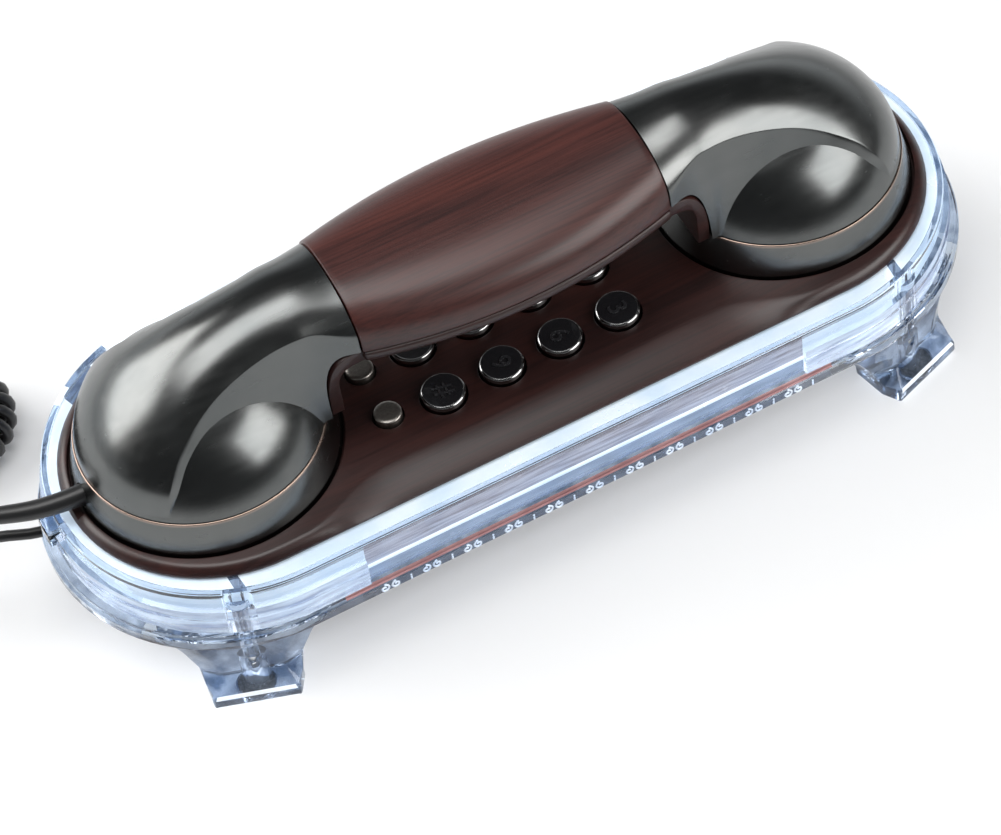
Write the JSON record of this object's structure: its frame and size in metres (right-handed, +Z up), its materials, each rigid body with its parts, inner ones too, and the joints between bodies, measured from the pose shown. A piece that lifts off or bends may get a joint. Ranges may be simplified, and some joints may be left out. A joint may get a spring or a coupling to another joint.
{
  "type": "corded desk telephone",
  "caption": "Retro desk telephone: barrel-gripped handset with round metal caps lies over a push-button base in a clear footed stand, with a curly cord.",
  "frame": {"origin": "on the standing surface, under the middle of the base", "axes": "+X along the base towards the earpiece end, +Z up, keypad front row towards -Y"},
  "size_m": [0.3133, 0.1259, 0.0783],
  "materials": {
    "wood": "dark mahogany woodgrain film, satin gloss",
    "gunmetal": "dark brushed nickel plating",
    "dark_brown": "satin moulding",
    "clear_acrylic": "polished clear moulding, faint blue",
    "black_plastic": "fine matte",
    "speaker_paper": "pressed cone",
    "steel": "zinc plated",
    "circuit_board": "solder mask",
    "pad_rubber": "granular",
    "key_black": "glossy top in a bright rim",
    "key_bronze": "warm grey metallic",
    "cord_rubber": "satin PVC"
  },
  "bodies": {
    "base": {"base_top_housing": "wood", "base_bottom_plate": "dark_brown", "clear_ring": "clear_acrylic", "clear_stand": "clear_acrylic", "modular_plug": "clear_acrylic", "hook_switch": "black_plastic", "handset_jack": "black_plastic", "line_jack": "black_plastic", "ringer_speaker": "speaker_paper", "plate_screw_1": "steel", "plate_screw_2": "steel", "stand_screw_1": "steel", "stand_screw_2": "steel", "stand_screw_3": "steel", "stand_screw_4": "steel", "circuit_board": "circuit_board", "keypad_mat": "pad_rubber", "foot_pad_1": "pad_rubber", "foot_pad_2": "pad_rubber", "foot_pad_3": "pad_rubber", "foot_pad_4": "pad_rubber", "cord_tail": "cord_rubber", "cord_lead": "cord_rubber", "cord_curl": "cord_rubber"},
    "handset": {"grip_cover": "wood", "handset_lower_shell": "wood", "earpiece_cap": "gunmetal", "mouthpiece_cap": "gunmetal", "earpiece_collar": "gunmetal", "mouthpiece_collar": "gunmetal", "earpiece_grille": "dark_brown", "mouthpiece_grille": "dark_brown", "receiver_capsule": "black_plastic", "microphone_capsule": "black_plastic", "handset_weight": "steel", "handset_screw_1": "steel", "handset_screw_2": "steel", "strain_relief": "cord_rubber"},
    "hook": {"hook_plunger": "black_plastic"},
    "key_hash": {"key_hash": "key_black"},
    "key_0": {"key_0": "key_black"},
    "key_star": {"key_star": "key_black"},
    "key_9": {"key_9": "key_black"},
    "key_8": {"key_8": "key_black"},
    "key_7": {"key_7": "key_black"},
    "key_6": {"key_6": "key_black"},
    "key_5": {"key_5": "key_black"},
    "key_4": {"key_4": "key_black"},
    "key_3": {"key_3": "key_black"},
    "key_2": {"key_2": "key_black"},
    "key_1": {"key_1": "key_black"},
    "key_redial": {"key_redial": "key_bronze"},
    "key_pause": {"key_pause": "key_bronze"},
    "key_flash": {"key_flash": "key_bronze"}
  },
  "joints": [
    {"name": "handset_lift", "type": "slide", "parent": "base", "child": "handset", "axis": [0, 0, 1], "range_m": [0, 0.08]},
    {"name": "hook_rise", "type": "slide", "parent": "base", "child": "hook", "axis": [0, 0, 1], "range_m": [0, 0.003]},
    {"name": "press_key_hash", "type": "slide", "parent": "base", "child": "key_hash", "axis": [0, 0, -1], "range_m": [0, 0.0012], "stiffness_N_per_m": 400, "springref_m": -0.0005},
    {"name": "press_key_0", "type": "slide", "parent": "base", "child": "key_0", "axis": [0, 0, -1], "range_m": [0, 0.0012], "stiffness_N_per_m": 400, "springref_m": -0.0005},
    {"name": "press_key_star", "type": "slide", "parent": "base", "child": "key_star", "axis": [0, 0, -1], "range_m": [0, 0.0012], "stiffness_N_per_m": 400, "springref_m": -0.0005},
    {"name": "press_key_9", "type": "slide", "parent": "base", "child": "key_9", "axis": [0, 0, -1], "range_m": [0, 0.0012], "stiffness_N_per_m": 400, "springref_m": -0.0005},
    {"name": "press_key_8", "type": "slide", "parent": "base", "child": "key_8", "axis": [0, 0, -1], "range_m": [0, 0.0012], "stiffness_N_per_m": 400, "springref_m": -0.0005},
    {"name": "press_key_7", "type": "slide", "parent": "base", "child": "key_7", "axis": [0, 0, -1], "range_m": [0, 0.0012], "stiffness_N_per_m": 400, "springref_m": -0.0005},
    {"name": "press_key_6", "type": "slide", "parent": "base", "child": "key_6", "axis": [0, 0, -1], "range_m": [0, 0.0012], "stiffness_N_per_m": 400, "springref_m": -0.0005},
    {"name": "press_key_5", "type": "slide", "parent": "base", "child": "key_5", "axis": [0, 0, -1], "range_m": [0, 0.0012], "stiffness_N_per_m": 400, "springref_m": -0.0005},
    {"name": "press_key_4", "type": "slide", "parent": "base", "child": "key_4", "axis": [0, 0, -1], "range_m": [0, 0.0012], "stiffness_N_per_m": 400, "springref_m": -0.0005},
    {"name": "press_key_3", "type": "slide", "parent": "base", "child": "key_3", "axis": [0, 0, -1], "range_m": [0, 0.0012], "stiffness_N_per_m": 400, "springref_m": -0.0005},
    {"name": "press_key_2", "type": "slide", "parent": "base", "child": "key_2", "axis": [0, 0, -1], "range_m": [0, 0.0012], "stiffness_N_per_m": 400, "springref_m": -0.0005},
    {"name": "press_key_1", "type": "slide", "parent": "base", "child": "key_1", "axis": [0, 0, -1], "range_m": [0, 0.0012], "stiffness_N_per_m": 400, "springref_m": -0.0005},
    {"name": "press_key_redial", "type": "slide", "parent": "base", "child": "key_redial", "axis": [0, 0, -1], "range_m": [0, 0.0012], "stiffness_N_per_m": 400, "springref_m": -0.0005},
    {"name": "press_key_pause", "type": "slide", "parent": "base", "child": "key_pause", "axis": [0, 0, -1], "range_m": [0, 0.0012], "stiffness_N_per_m": 400, "springref_m": -0.0005},
    {"name": "press_key_flash", "type": "slide", "parent": "base", "child": "key_flash", "axis": [0, 0, -1], "range_m": [0, 0.0012], "stiffness_N_per_m": 400, "springref_m": -0.0005}
  ],
  "couplings": [
    {"joint": "hook_rise", "follows": "handset_lift", "ratio": 0.0375}
  ]
}
